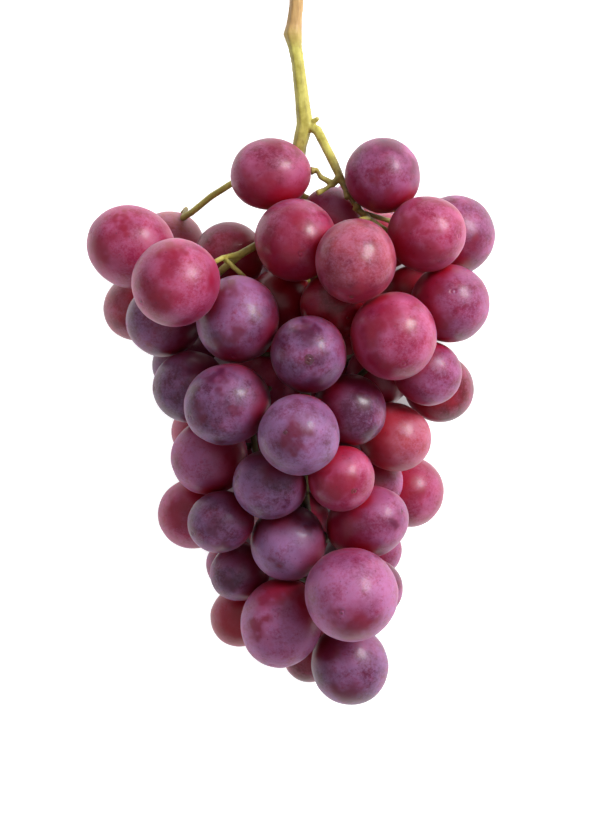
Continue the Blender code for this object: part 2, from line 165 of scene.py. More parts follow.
# where the bloom is rubbed off to bare red skin, and where it is off dark skin:
# across, along, size and strength, seen from above, in half widths of the grape
bareSpots = {
    "grape_01": [(-0.2, -0.6, 0.7, 0.9)],
    "grape_02": [(-0.1, 0.0, 0.2, 0.8), (-0.6, -0.5, 0.4, 0.8), (0.2, -0.7, 0.4, 0.7)],
    "grape_03": [(-0.2, 0.6, 0.2, 1.0), (-0.2, 0.4, 0.2, 0.9), (-0.6, -0.2, 0.5, 0.7)],
    "grape_04": [(-0.1, 0.7, 0.3, 0.9), (-0.3, 0.2, 0.3, 0.7), (-0.3, -0.3, 0.4, 0.9), (0.9, 0.1, 0.3, 0.7)],
    "grape_08": [(0.2, 0.0, 0.4, 0.7), (0.6, -0.5, 0.4, 0.8)],
    "grape_09": [(-0.2, 0.7, 0.3, 0.8), (0.0, -0.4, 0.3, 0.7), (-0.2, -0.8, 0.4, 0.9)],
    "grape_10": [(-0.3, -0.4, 0.6, 0.9), (0.0, 0.5, 0.3, 0.6)],
    "grape_11": [(0.0, -0.8, 0.4, 0.8)],
    "grape_12": [(0.0, 0.0, 0.2, 0.7), (-0.6, 0.2, 0.4, 0.9), (-0.1, -0.6, 0.5, 0.8)],
    "grape_13": [(0.4, -0.3, 0.3, 0.6), (0.1, -0.8, 0.4, 0.8)],
    "grape_14": [(-0.6, 0.4, 0.5, 1.0), (-0.4, -0.4, 0.4, 1.0), (0.0, 0.3, 0.1, 0.9)],
    "grape_15": [(-0.6, 0.1, 0.4, 0.9), (-0.2, 0.5, 0.3, 0.7), (-0.3, -0.7, 0.4, 0.8)],
    "grape_18": [(0.0, -0.2, 0.6, 0.8)],
    "grape_19": [(-0.5, -0.3, 0.3, 0.7), (0.2, -0.2, 0.2, 0.7)],
    "grape_20": [(-0.1, 0.1, 0.3, 1.0), (0.0, -0.2, 0.2, 0.7)],
    "grape_23": [(0.6, 0.0, 0.4, 0.9)],
    "grape_25": [(-0.1, 0.4, 0.4, 0.6)],
    "grape_26": [(-0.1, 0.0, 0.3, 0.6)],
    "grape_27": [(-0.5, 0.1, 0.5, 0.8)],
    "grape_28": [(-0.3, -0.4, 0.2, 0.8), (0.1, 0.8, 0.3, 0.8)],
    "grape_29": [(0.0, -0.2, 0.5, 1.0), (-0.7, 0.0, 0.4, 0.9)],
    "grape_31": [(-0.4, -0.2, 0.5, 0.9)],
    "grape_32": [(-0.6, 0.4, 0.5, 1.0), (0.2, 0.0, 0.3, 0.6)],
    "grape_33": [(-0.7, -0.2, 0.7, 1.0), (-0.2, -0.7, 0.3, 0.9)],
    "grape_36": [(0.1, -0.6, 0.4, 0.9), (-0.3, -0.2, 0.2, 0.8)],
    "grape_37": [(-0.5, -0.1, 0.3, 0.9), (-0.2, 0.8, 0.5, 1.0), (0.6, 0.6, 0.4, 1.0)],
    "grape_38": [(0.0, 0.0, 0.8, 0.9)],
    "grape_39": [(-0.6, 0.5, 0.5, 1.0), (-0.1, -0.7, 0.4, 0.8)],
}
duskySpots = {
    "grape_01": [(0.1, 0.8, 0.4, 0.5)],
    "grape_02": [(0.1, 0.8, 0.5, 0.6), (0.8, 0.2, 0.3, 0.6)],
    "grape_16": [(-0.1, 0.6, 0.3, 0.9), (0.3, -0.1, 0.2, 0.5), (0.2, -0.8, 0.3, 0.9)],
    "grape_19": [(-0.2, 0.7, 0.3, 0.9), (-0.3, 0.3, 0.2, 0.8), (0.0, 0.0, 0.2, 0.6)],
    "grape_21": [(0.4, 0.4, 0.6, 0.8)],
    "grape_26": [(-0.1, 0.0, 0.3, 0.6), (0.1, -0.8, 0.3, 0.8)],
    "grape_28": [(0.6, 0.4, 0.3, 0.8)],
    "grape_33": [(0.6, 0.0, 0.2, 0.9), (0.3, -0.8, 0.1, 1.0)],
    "grape_34": [(-0.3, -0.3, 0.4, 0.8), (0.5, 0.0, 0.4, 0.7)],
}


def modelGrape():
    # a ball of even squares, long axis along Z: the stalk's end at the top, the flower scar below
    bpy.ops.object.select_all(action="DESELECT")
    bpy.ops.mesh.primitive_cube_add(size=2.0)
    grape = bpy.context.active_object
    grape.name = "grapeMaster"
    bpy.ops.object.mode_set(mode="EDIT")
    bpy.ops.mesh.select_all(action="SELECT")
    bpy.ops.mesh.subdivide(number_cuts=grapeSettings["cuts"])
    bpy.ops.transform.tosphere(value=1.0)
    bpy.ops.object.mode_set(mode="OBJECT")
    radius = max(corner.co.length for corner in grape.data.vertices)
    grape.data.transform(Matrix.Scale(1.0 / radius, 4))

    # the flower scar: a small round patch, set in and pushed back out into a dot
    bpy.ops.object.mode_set(mode="EDIT")
    bpy.ops.mesh.select_all(action="DESELECT")
    bpy.ops.mesh.select_mode(type="FACE")
    bpy.ops.object.mode_set(mode="OBJECT")
    for face in grape.data.polygons:
        fromAxis = math.hypot(face.center.x, face.center.y)
        face.select = face.center.z < 0 and fromAxis < grapeSettings["scarFaces"]
    bpy.ops.object.mode_set(mode="EDIT")
    bpy.ops.mesh.inset(thickness=grapeSettings["scarRim"], depth=-grapeSettings["scarSunk"])
    bpy.ops.mesh.inset(thickness=grapeSettings["scarDot"], depth=grapeSettings["scarDot"])
    bpy.ops.object.mode_set(mode="OBJECT")
    return grape


def measureGrape(node):
    # centre, stalk direction, half width and half length of a grape in the frame; the two ends of
    # its egg are the only corners where twelve edges meet
    shape = bmesh.new()
    shape.from_mesh(node.data)
    bmesh.ops.remove_doubles(shape, verts=shape.verts, dist=0.01 * mm)
    low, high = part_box(node.name)
    centre = (low + high) / 2
    poles = [corner.co.copy() for corner in shape.verts if len(corner.link_edges) == 12]
    pole = min(poles, key=lambda spot: min((spot - point).length for point in stemPoints))
    axis = (pole - centre).normalized()
    halfLength = (pole - centre).length
    outward = [corner.co - centre for corner in shape.verts]
    halfWidth = max((way - axis * way.dot(axis)).length for way in outward)
    shape.free()
    return {"centre": centre, "axis": axis, "halfLength": halfLength, "halfWidth": halfWidth}


def skinReach(measure, direction):
    # how far a grape reaches from its centre in one direction
    along = measure["axis"].dot(direction)
    return math.sqrt(measure["halfWidth"] ** 2 * (1 - along ** 2) + measure["halfLength"] ** 2 * along ** 2)


def pressFlats(points, name):
    # the skin goes flat where it meets a neighbour or the table; returns how pressed each point is
    pressed = np.zeros(len(points))
    own = grapes[name]
    table = (np.array((0.0, 0.0, -1.0)), 0.0)
    planes = [table]
    for other, measure in grapes.items():
        between = measure["centre"] - own["centre"]
        if other == name or between.length > grapeSettings["pressReach"]:
            continue
        way = between.normalized()
        gap = between.length - skinReach(own, way) - skinReach(measure, way)
        if gap < grapeSettings["touching"]:
            middle = own["centre"] + way * (skinReach(own, way) + gap / 2)
            planes.append((np.array(way), float(middle.dot(way)) - grapeSettings["skinGap"]))
    softness = grapeSettings["press"]
    for way, height in planes:
        # a push that grows smoothly from nothing, four times the softness below the plane
        above = points @ way - height
        push = (above + np.sqrt(above ** 2 + softness ** 2)) / 2
        push = np.where(above < -4 * softness, 0.0, push - softness / 16.5)
        points -= np.clip(push, 0.0, None)[:, None] * way
        pressed = np.maximum(pressed, np.clip(1.0 + above / grapeSettings["polished"], 0.0, 1.0))
    return pressed


def shelterOf(points, name):
    # how much of the open air in front of each point of the skin the other grapes take up: the shelter that
    # sets the painted shade between the grapes
    outward = outwardFrom(grapes[name], points)
    openAir = np.ones(len(points))
    for other, measure in grapes.items():
        between = measure["centre"] - grapes[name]["centre"]
        if other == name or between.length > grapeSettings["shelterReach"]:
            continue
        toward = np.array(measure["centre"]) - points
        distance = np.linalg.norm(toward, axis=1)
        facing = np.clip((toward * outward).sum(axis=1) / distance, 0.0, 1.0)
        openAir *= 1.0 - np.clip(facing * (measure["halfWidth"] / distance) ** 2, 0.0, 1.0)
    return 1.0 - openAir


def outwardFrom(measure, points):
    # the direction of each point from the middle of its grape
    outward = points - np.array(measure["centre"])
    return outward / np.linalg.norm(outward, axis=1)[:, None]


patchSettings = {
    "seed": 7,
    "wideWander": (3.0, 0.28),    # how the edges of the patches stray: how fine, how far
    "fineWander": (9.0, 0.12),
    "strength": 1.25,
}


def spotCover(outward, spots):
    # how far each point of a skin lies in one of the grape's listed patches
    cover = np.zeros(len(outward))
    if not spots:
        return cover
    wideness, wideShift = patchSettings["wideWander"]
    fineness, fineShift = patchSettings["fineWander"]
    wander = [noise.noise_vector(Vector(way) * wideness) * wideShift
              + noise.noise_vector(Vector(way) * fineness) * fineShift for way in outward]
    outward = outward + np.array([tuple(shift) for shift in wander])
    for across, along, size, strength in spots:
        centre = np.array((across, along, math.sqrt(max(0.0, 1.0 - across ** 2 - along ** 2))))
        away = np.linalg.norm(outward - centre, axis=1) / size
        cover = np.maximum(cover, strength * patchSettings["strength"] * np.exp(-away ** 2))
    return cover


def finishGrape(master, name):
    # one grape: the master scaled and turned into its place, made lumpy, pressed and marked
    measure = grapes[name]
    luck = random.Random(name)
    grape = bpy.data.objects.new(name + "_skin", master.data.copy())
    bpy.context.collection.objects.link(grape)
    swell = grapeSettings["swell"]
    width = measure["halfWidth"] + swell
    length = measure["halfLength"] + swell
    turn = measure["axis"].to_track_quat("Z", "Y").to_matrix().to_4x4()
    place = Matrix.Translation(measure["centre"]) @ turn
    spin = Matrix.Rotation(luck.uniform(0, math.tau), 4, "Z")
    grape.data.transform(place @ spin @ Matrix.Diagonal((width, width, length, 1.0)))
    applyModifier(grape, "DISPLACE", texture=lumpTexture, texture_coords="LOCAL", mid_level=0.5,
                  strength=grapeSettings["lumps"])
    points = np.empty(len(grape.data.vertices) * 3)
    grape.data.vertices.foreach_get("co", points)
    points = points.reshape(-1, 3)
    pressed = pressFlats(points, name)
    grape.data.vertices.foreach_set("co", points.ravel())
    towardStalk = (points - np.array(measure["centre"])) @ np.array(measure["axis"]) / length
    everyPoint = np.ones(len(points))
    # marks: how near the stalk's end, how near the scar, how pressed or sheltered; the last wears off the
    # bloom where pressed, and where sheltered takes off the bloom and paints shade
    writeColours(grape.data, "marks", (np.clip((towardStalk - 0.3) / 0.7, 0, 1),
                                       np.clip((-towardStalk - 0.55) / 0.45, 0, 1),
                                       np.maximum(pressed, shelterOf(points, name))))
    slot = slotOf[name]
    stray = grapeSettings["luck"]
    look = [value + luck.uniform(-stray, stray) for value in ownLooks.get(name, skinLooks[slot])]
    writeColours(grape.data, "luck", [value * everyPoint for value in look])
    outward = outwardFrom(measure, points)
    writeColours(grape.data, "spots", (spotCover(outward, bareSpots.get(name, ())),
                                       spotCover(outward, duskySpots.get(name, ())), 0 * everyPoint))
    grape.data.materials.clear()
    grape.data.materials.append(skinMaterials[slot])
    pickOnly(grape)
    bpy.ops.object.shade_smooth()
    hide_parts(name)
    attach(grape, "root")


def writeColours(mesh, name, channels):
    # three numbers for each point of the mesh, for the shader to read as a colour
    layer = mesh.attributes.new(name, "FLOAT_COLOR", "POINT")
    values = np.stack([*channels, np.ones(len(channels[0]))], axis=1)
    layer.data.foreach_set("color", values.astype(np.float32).ravel())


# each ripeness: ripest, plain and least ripe skin, rubbed skin, wax, and painted shade between the grapes
# the painted shade is a strong red, for shade and for light come through the neighbouring skins
skinColours = {
    "skin_purple": {"deep": "4c0830", "red": "740a36", "blush": "8c1840", "bare": "64062c", "bloom": "a07ab0",
                    "shade": "700418"},
    "skin_mauve": {"deep": "600a34", "red": "880c40", "blush": "9c2c50", "bare": "7c062c", "bloom": "b47ab0",
                   "shade": "980418"},
    "skin_red": {"deep": "70082c", "red": "940e40", "blush": "a83050", "bare": "8a082e", "bloom": "c478aa",
                 "shade": "a00618"},
    "skin_wine": {"deep": "580414", "red": "8c0a2a", "blush": "981832", "bare": "900820", "bloom": "ac6c98",
                  "shade": "8c0614"},
    "skin_amber": {"deep": "741030", "red": "981c3a", "blush": "a83c40", "bare": "941a36", "bloom": "c082a8",
                   "shade": "a01820"},
}

skinSettings = {
    "drift": 9,                # sizes of the patterns, mm
    "cloud": 5,
    "grain": 1.0,
    "ripple": 3.5,
    "speckGap": 2.6,
    "unripe": "b4946c",        # tan at the stalk's end of a pale grape
    "speck": "3a1426",
    "scar": "4a2a1c",
    "waxRange": (1.6, 3.8),    # from no wax to all of it
    "waxMost": 0.75,           # how much of the skin full wax hides
    "waxKept": 0.12,           # what a rubbed place keeps of it
    # painted shade between the grapes: where it starts and ends on the shelter measure, and its most
    "paintedShadeRange": (0.22, 0.9),   # how shut in the skin is, from first sign to fully red
    "paintedShadeMost": 0.85,
    "speckShare": 0.4,
    "bareRoughness": 0.36,
    "waxRoughness": 0.85,
    "bump": (0.12, 0.3 * mm),  # strength and depth
    "bleed": 8 * mm,           # how far light runs in the flesh
}


# Grape skin: a thin translucent red-purple film over wet flesh, grown, not polished. Its natural wax
# bloom dulls and greys it to lavender, and is rubbed off in patches that show deep glossy red.
# Between the grapes the bloom is taken off and the skin painted a strong red, as shade.
def grapeSkin(slot, colours):
    material, tree, surface = newMaterial(slot)
    place = addNode(tree, "ShaderNodeTexCoord").outputs["Object"]
    luck = addNode(tree, "ShaderNodeAttribute", {"attribute_name": "luck"}).outputs["Color"]
    marks = addNode(tree, "ShaderNodeAttribute", {"attribute_name": "marks"}).outputs["Color"]
    spots = addNode(tree, "ShaderNodeAttribute", {"attribute_name": "spots"}).outputs["Color"]
    luckParts = addNode(tree, "ShaderNodeSeparateColor", links={"Color": luck}).outputs
    markParts = addNode(tree, "ShaderNodeSeparateColor", links={"Color": marks}).outputs
    spotParts = addNode(tree, "ShaderNodeSeparateColor", links={"Color": spots}).outputs
    bloomLuck, blushLuck, depthLuck = luckParts[0], luckParts[1], luckParts[2]

    # wide drifts of colour under the skin
    drift = addNode(tree, "ShaderNodeTexNoise",
                    values={"Scale": perMetre(skinSettings["drift"]), "Detail": 2.0, "Roughness": 0.5},
                    links={"Vector": place}).outputs["Fac"]
    # wax: cloudy patches, and grains that are coarser than life so that they show
    cloud = addNode(tree, "ShaderNodeTexNoise",
                    values={"Scale": perMetre(skinSettings["cloud"]), "Detail": 4.0, "Roughness": 0.55,
                            "Distortion": 0.2},
                    links={"Vector": place}).outputs["Fac"]
    grain = addNode(tree, "ShaderNodeTexNoise",
                    values={"Scale": perMetre(skinSettings["grain"]), "Detail": 5.0, "Roughness": 0.8},
                    links={"Vector": place}).outputs["Fac"]
    # corky specks, about half a millimetre across
    speck = addNode(tree, "ShaderNodeTexVoronoi",
                    values={"Scale": perMetre(skinSettings["speckGap"]), "Randomness": 1.0},
                    links={"Vector": place}).outputs["Distance"]
    specks = addNode(tree, "ShaderNodeMapRange",
                     values={"From Min": 0.05, "From Max": 0.13, "To Min": 1.0, "To Max": 0.0},
                     links={"Value": speck}).outputs["Result"]

    # rubbed: bare where a hand or a neighbour has polished it, and, as painted shade, where neighbours shut
    # the skin in, with a ragged edge; a dusky patch has lost its wax too, but over dark skin
    ragged = addNode(tree, "ShaderNodeMath", {"operation": "MULTIPLY_ADD"}, {1: 1.2, 2: -1.1},
                     {0: cloud}).outputs[0]
    ragged = addNode(tree, "ShaderNodeMath", {"operation": "MULTIPLY_ADD"}, {1: 1.0},
                     {0: grain, 2: ragged}).outputs[0]
    bare = addNode(tree, "ShaderNodeMath", {"operation": "MAXIMUM"},
                   links={0: spotParts[0], 1: spotParts[1]}).outputs[0]
    bare = addNode(tree, "ShaderNodeMath", {"operation": "MAXIMUM"},
                   links={0: markParts[2], 1: bare}).outputs[0]
    bare = addNode(tree, "ShaderNodeMath", {"operation": "ADD"}, links={0: bare, 1: ragged}).outputs[0]
    rubbedAndShaded = addNode(tree, "ShaderNodeMapRange", {"interpolation_type": "SMOOTHSTEP"},
                     {"From Min": 0.0, "From Max": 0.95}, {"Value": bare}).outputs["Result"]

    # under-skin colour: its own red, deep where it is ripest, blushed where less sun reached
    deepShare = addNode(tree, "ShaderNodeMapRange",
                        values={"From Min": 0.35, "From Max": 0.65, "To Min": -0.25, "To Max": 0.25},
                        links={"Value": drift}).outputs["Result"]
    deepShare = addNode(tree, "ShaderNodeMath", {"operation": "ADD"},
                        links={0: deepShare, 1: depthLuck}).outputs[0]
    deepShare = addNode(tree, "ShaderNodeMath", {"operation": "ADD", "use_clamp": True},
                        links={0: deepShare, 1: spotParts[1]}).outputs[0]
    under = addNode(tree, "ShaderNodeMix", {"data_type": "RGBA"},
                    {6: linearColour(colours["red"]), 7: linearColour(colours["deep"])},
                    {0: deepShare}).outputs[2]
    blushShare = addNode(tree, "ShaderNodeMapRange",
                         values={"From Min": 0.3, "From Max": 0.7, "To Min": 0.3, "To Max": -0.5},
                         links={"Value": drift}).outputs["Result"]
    blushShare = addNode(tree, "ShaderNodeMath", {"operation": "ADD", "use_clamp": True},
                         links={0: blushShare, 1: blushLuck}).outputs[0]
    under = addNode(tree, "ShaderNodeMix", {"data_type": "RGBA"}, {7: linearColour(colours["blush"])},
                    {0: blushShare, 6: under}).outputs[2]
    # where a pale grape's stalk end stayed unripe it is still tan
    unripe = addNode(tree, "ShaderNodeMapRange", values={"From Min": 0.55, "From Max": 1.0, "To Max": 0.9},
                     links={"Value": blushLuck}).outputs["Result"]
    unripe = addNode(tree, "ShaderNodeMath", {"operation": "MULTIPLY"},
                     links={0: unripe, 1: markParts[0]}).outputs[0]
    under = addNode(tree, "ShaderNodeMix", {"data_type": "RGBA"}, {7: linearColour(skinSettings["unripe"])},
                    {0: unripe, 6: under}).outputs[2]
    # rubbed skin shows its clear red, and a dusky patch doesn't; where neighbours shut the skin in, this red
    # is painted shade
    notDusky = addNode(tree, "ShaderNodeMapRange", values={"To Min": 0.85, "To Max": -0.3},
                       links={"Value": spotParts[1]}).outputs["Result"]
    bareAndShadedShare = addNode(tree, "ShaderNodeMath", {"operation": "MULTIPLY", "use_clamp": True},
                        links={0: rubbedAndShaded, 1: notDusky}).outputs[0]
    under = addNode(tree, "ShaderNodeMix", {"data_type": "RGBA"}, {7: linearColour(colours["bare"])},
                    {0: bareAndShadedShare, 6: under}).outputs[2]

    # wax cover: the grape's own share, clouded and grained, gone where it is rubbed, and, as painted shade,
    # where neighbours shut the skin in
    cover = addNode(tree, "ShaderNodeMath", {"operation": "MULTIPLY_ADD"}, {1: 2.4},
                    {0: cloud, 2: bloomLuck}).outputs[0]
    cover = addNode(tree, "ShaderNodeMath", {"operation": "MULTIPLY_ADD"}, {1: -1.6},
                    {0: drift, 2: cover}).outputs[0]
    cover = addNode(tree, "ShaderNodeMath", {"operation": "MULTIPLY_ADD"}, {1: 3.0},
                    {0: grain, 2: cover}).outputs[0]
    noWax, fullWax = skinSettings["waxRange"]
    cover = addNode(tree, "ShaderNodeMapRange", {"interpolation_type": "SMOOTHSTEP"},
                    {"From Min": noWax, "From Max": fullWax, "To Min": 0.0,
                     "To Max": skinSettings["waxMost"]},
                    {"Value": cover}).outputs["Result"]
    kept = addNode(tree, "ShaderNodeMapRange", values={"To Min": 1.0, "To Max": skinSettings["waxKept"]},
                   links={"Value": rubbedAndShaded}).outputs["Result"]
    cover = addNode(tree, "ShaderNodeMath", {"operation": "MULTIPLY"}, links={0: cover, 1: kept}).outputs[0]
    skin = addNode(tree, "ShaderNodeMix", {"data_type": "RGBA"}, {7: linearColour(colours["bloom"])},
                   {0: cover, 6: under}).outputs[2]
    # between the grapes the skin keeps no bloom, and is painted a clear strong red: painted shade, with the
    # red light come through the neighbouring skins
    slight, full = skinSettings["paintedShadeRange"]
    paintedShadeShare = addNode(tree, "ShaderNodeMapRange", {"interpolation_type": "SMOOTHSTEP"},
                        {"From Min": slight, "From Max": full, "To Max": skinSettings["paintedShadeMost"]},
                        {"Value": markParts[2]}).outputs["Result"]
    skin = addNode(tree, "ShaderNodeMix", {"data_type": "RGBA"}, {7: linearColour(colours["shade"])},
                   {0: paintedShadeShare, 6: skin}).outputs[2]
    speckShare = addNode(tree, "ShaderNodeMath", {"operation": "MULTIPLY"}, {1: skinSettings["speckShare"]},
                         {0: specks}).outputs[0]
    skin = addNode(tree, "ShaderNodeMix", {"data_type": "RGBA"}, {7: linearColour(skinSettings["speck"])},
                   {0: speckShare, 6: skin}).outputs[2]
    # the dry scar where the flower was
    scar = addNode(tree, "ShaderNodeMapRange", values={"From Min": 0.9975, "From Max": 0.9995, "To Max": 0.6},
                   links={"Value": markParts[1]}).outputs["Result"]
    skin = addNode(tree, "ShaderNodeMix", {"data_type": "RGBA"}, {7: linearColour(skinSettings["scar"])},
                   {0: scar, 6: skin}).outputs[2]
    tree.links.new(skin, surface.inputs["Base Color"])

    roughness = addNode(tree, "ShaderNodeMapRange",
                        values={"To Min": skinSettings["bareRoughness"],
                                "To Max": skinSettings["waxRoughness"]},
                        links={"Value": cover}).outputs["Result"]
    tree.links.new(roughness, surface.inputs["Roughness"])
    ripple = addNode(tree, "ShaderNodeTexNoise",
                     values={"Scale": perMetre(skinSettings["ripple"]), "Detail": 1.0},
                     links={"Vector": place}).outputs["Fac"]
    relief = addNode(tree, "ShaderNodeMath", {"operation": "MULTIPLY_ADD"}, {1: 0.25},
                     {0: grain, 2: ripple}).outputs[0]
    bumpStrength, bumpDepth = skinSettings["bump"]
    bump = addNode(tree, "ShaderNodeBump", values={"Strength": bumpStrength, "Distance": bumpDepth},
                   links={"Height": relief}).outputs["Normal"]
    tree.links.new(bump, surface.inputs["Normal"])
    surface.inputs["IOR"].default_value = 1.42
    surface.inputs["Coat Weight"].default_value = 0.12
    surface.inputs["Coat Roughness"].default_value = 0.16
    surface.inputs["Subsurface Weight"].default_value = 0.7
    surface.inputs["Subsurface Radius"].default_value = (1.0, 0.08, 0.12)
    surface.inputs["Subsurface Scale"].default_value = skinSettings["bleed"]
    surface.inputs["Sheen Weight"].default_value = 0.1
    surface.inputs["Sheen Roughness"].default_value = 0.25
    surface.inputs["Sheen Tint"].default_value = linearColour("e6c4dc")
    return material


stalkSettings = {
    "voxel": 0.34 * mm,
    "smooth": 6,
    "grow": 0.12 * mm,       # made up for what the smoothing takes off
    "ridges": 0.1 * mm,
    "ridgeSize": 1.6 * mm,
    "pedicel": 7 * mm,       # this near a grape the bark is brown
    # painted shade: below this the bark is painted dark, where it never sees the light
    "shadeBelow": 12 * mm,   # from here down it never sees the light and stays dark
    "shadeFade": 12 * mm,
    "shadeMost": 0.85,
    "green": ("a69a3c", "c6be60"),
    "brown": ("5c4a20", "a08c44"),
    "wood": ("8c5f30", "dcb878"),
    "streak": "6a5424",
    # the colour of the painted shade on the low bark
    "dark": "2c1a0c",
    "woodFrom": 26 * mm,     # below the cut end the bark begins to turn to wood, and is all wood
    "woodTo": 19 * mm,
    "bleed": 1 * mm,
}


def modelStalk():
    # the frame's own stalk, its loose faces joined into one skin, smoothed and finely ridged
    stalk = bpy.data.objects.new("stalk", frame["nodes"]["stem"].data.copy())
    bpy.context.collection.objects.link(stalk)
    pickOnly(stalk)
    bpy.ops.object.mode_set(mode="EDIT")
    bpy.ops.mesh.select_all(action="SELECT")
    bpy.ops.mesh.remove_doubles(threshold=0.01 * mm)
    bpy.ops.object.mode_set(mode="OBJECT")
    applyModifier(stalk, "REMESH", mode="VOXEL", voxel_size=stalkSettings["voxel"])
    applyModifier(stalk, "SMOOTH", factor=0.5, iterations=stalkSettings["smooth"])
    ridges = bpy.data.textures.new("stalkRidges", "CLOUDS")
    ridges.noise_scale = stalkSettings["ridgeSize"]
    applyModifier(stalk, "DISPLACE", texture=ridges, texture_coords="LOCAL", mid_level=0.5,
                  strength=stalkSettings["ridges"])
    applyModifier(stalk, "DISPLACE", mid_level=0.0, strength=stalkSettings["grow"])
    points = np.empty(len(stalk.data.vertices) * 3)
    stalk.data.vertices.foreach_get("co", points)
    points = points.reshape(-1, 3)
    nearest = np.full(len(points), np.inf)
    for measure in grapes.values():
        distance = np.linalg.norm(points - np.array(measure["centre"]), axis=1) - measure["halfWidth"]
        nearest = np.minimum(nearest, distance)
    near = np.clip(1.2 - nearest / stalkSettings["pedicel"], 0.0, 1.0)
    # painted shade: the bark darker down the bunch, where it never sees the light
    deep = np.clip((stalkSettings["shadeBelow"] - points[:, 1]) / stalkSettings["shadeFade"], 0.0, 1.0)
    deep = stalkSettings["shadeMost"] * deep
    writeColours(stalk.data, "nearGrapeAndPaintedShade", (near, deep, 0 * deep))
    stalk.data.materials.clear()
    stalk.data.materials.append(stalkMaterial)
    pickOnly(stalk)
    bpy.ops.object.shade_smooth()
    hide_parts("stem")
    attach(stalk, "root")


# Vine stalk: green bark, browner on the thin pedicels, dry and woody at the cut end, with fine brown
# streaks along it.
# The bark low in the bunch is painted dark, as shade.
def greenBark():
    material, tree, surface = newMaterial("stem_green")
    place = addNode(tree, "ShaderNodeTexCoord").outputs["Object"]
    nearGrapeAndPaintedShade = addNode(tree, "ShaderNodeAttribute", {"attribute_name": "nearGrapeAndPaintedShade"}).outputs["Color"]
    nearParts = addNode(tree, "ShaderNodeSeparateColor", links={"Color": nearGrapeAndPaintedShade}).outputs
    nearness, paintedStalkShade = nearParts[0], nearParts[1]
    stretched = addNode(tree, "ShaderNodeMapping", values={"Scale": (1.0, 0.12, 1.0)},
                        links={"Vector": place}).outputs["Vector"]
    streak = addNode(tree, "ShaderNodeTexNoise",
                     values={"Scale": perMetre(0.7), "Detail": 4.0, "Roughness": 0.6},
                     links={"Vector": stretched}).outputs["Fac"]
    patch = addNode(tree, "ShaderNodeTexNoise",
                    values={"Scale": perMetre(3), "Detail": 4.0, "Roughness": 0.6},
                    links={"Vector": place}).outputs["Fac"]
    patches = addNode(tree, "ShaderNodeMapRange", values={"From Min": 0.35, "From Max": 0.65},
                      links={"Value": patch}).outputs["Result"]
    darkGreen, paleGreen = stalkSettings["green"]
    green = addNode(tree, "ShaderNodeMix", {"data_type": "RGBA"},
                    {6: linearColour(darkGreen), 7: linearColour(paleGreen)}, {0: patches}).outputs[2]
    darkBrown, paleBrown = stalkSettings["brown"]
    brown = addNode(tree, "ShaderNodeMix", {"data_type": "RGBA"},
                    {6: linearColour(darkBrown), 7: linearColour(paleBrown)}, {0: patches}).outputs[2]
    bark = addNode(tree, "ShaderNodeMix", {"data_type": "RGBA"},
                   links={0: nearness, 6: green, 7: brown}).outputs[2]
    streaks = addNode(tree, "ShaderNodeMapRange", values={"From Min": 0.56, "From Max": 0.7, "To Max": 0.45},
                      links={"Value": streak}).outputs["Result"]
    bark = addNode(tree, "ShaderNodeMix", {"data_type": "RGBA"}, {7: linearColour(stalkSettings["streak"])},
                   {0: streaks, 6: bark}).outputs[2]
    darkWood, paleWood = stalkSettings["wood"]
    wood = addNode(tree, "ShaderNodeMix", {"data_type": "RGBA"},
                   {6: linearColour(darkWood), 7: linearColour(paleWood)}, {0: streak}).outputs[2]
    alongStalk = addNode(tree, "ShaderNodeSeparateXYZ", links={"Vector": place}).outputs["Y"]
    cutEnd = cadBox[1][1]
    woody = addNode(tree, "ShaderNodeMapRange",
                    values={"From Min": cutEnd - stalkSettings["woodFrom"],
                            "From Max": cutEnd - stalkSettings["woodTo"]},
                    links={"Value": alongStalk}).outputs["Result"]
    bark = addNode(tree, "ShaderNodeMix", {"data_type": "RGBA"},
                   links={0: woody, 6: bark, 7: wood}).outputs[2]
    # painted shade on the low bark
    bark = addNode(tree, "ShaderNodeMix", {"data_type": "RGBA"}, {7: linearColour(stalkSettings["dark"])},
                   {0: paintedStalkShade, 6: bark}).outputs[2]
    tree.links.new(bark, surface.inputs["Base Color"])
    roughness = addNode(tree, "ShaderNodeMapRange", values={"To Min": 0.42, "To Max": 0.65},
                        links={"Value": patches}).outputs["Result"]
    tree.links.new(roughness, surface.inputs["Roughness"])
    surface.inputs["Subsurface Weight"].default_value = 0.15
    surface.inputs["Subsurface Radius"].default_value = (1.0, 0.8, 0.3)
    surface.inputs["Subsurface Scale"].default_value = stalkSettings["bleed"]
    bump = addNode(tree, "ShaderNodeBump", values={"Strength": 0.4, "Distance": 0.3 * mm},
                   links={"Height": streak}).outputs["Normal"]
    tree.links.new(bump, surface.inputs["Normal"])
    return material


studioSettings = {
    "lens": 135.2,
    "height": 0.98,
    "lookAt": (2.25 * mm, -25.0 * mm),
    "key": {"direction": (0.62, 0.46, 0.64), "distance": 1.3, "size": 0.55, "power": 20.0},
    "floorSpan": 6.0,
    "floorGrey": "c0c0c0",
    "floorGlow": 0.92,
    "glowColour": "fdfdff",
    # the floor's glow is painted light, and its dark under the bunch painted shadow, from where grapes shut
    # the table in
    "litSpan": 1.0,            # the table's glow falls off from its middle to farGlow at this span
    "farGlow": 0.2,
    "shadeSpan": 340 * mm,     # the middle of the table, finely divided to take the bunch's shade
    "shadeCuts": 129,
    "shadeTurns": 24,          # ways that each spot of the table looks for grapes
    "shadeReach": 32 * mm,     # and how far
    "shutIn": 0.76,            # shade begins where grapes close off this share of the ways
    "shutInSpan": 0.14,
    "openAbove": 30 * mm,      # up the bunch from here the table is open to the light
    "openFade": 8 * mm,
    "horizon": 0.25,           # how bright the room is, low and overhead
    "zenith": 0.52,
    "skyColour": "fcfcff",
}


